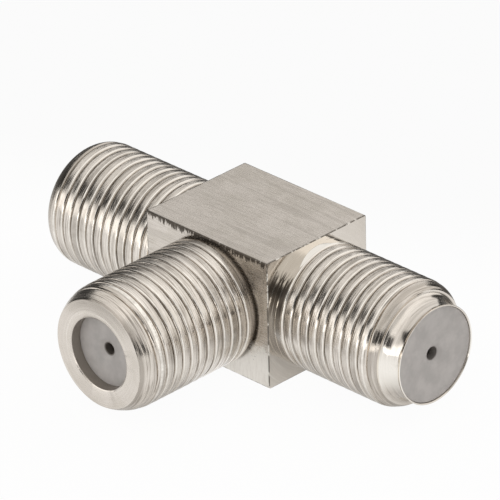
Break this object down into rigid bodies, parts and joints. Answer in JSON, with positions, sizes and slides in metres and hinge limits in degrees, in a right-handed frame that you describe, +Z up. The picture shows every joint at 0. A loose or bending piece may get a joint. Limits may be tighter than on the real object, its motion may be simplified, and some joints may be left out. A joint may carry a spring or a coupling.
{
  "type": "coaxial splitter",
  "caption": "Nickel-plated coaxial tee: a square block with a threaded socket port on each end and on its front side.",
  "frame": {"origin": "middle of the block's flat underside", "axes": "+X along the run towards the port with the smooth nose, -Y along the branch port, +Z up"},
  "size_m": [0.0346, 0.0208, 0.01],
  "materials": {
    "nickel_plate": "satin",
    "nickel_plate_barrel": "satin",
    "grey_plastic": "satin",
    "tinned_bronze": "satin"
  },
  "bodies": {
    "root": {"body": "nickel_plate", "branch_barrel": "nickel_plate_barrel", "left_insulator": "grey_plastic", "right_insulator": "grey_plastic", "branch_insulator": "grey_plastic", "run_contact": "tinned_bronze", "branch_contact": "tinned_bronze"}
  },
  "joints": []
}
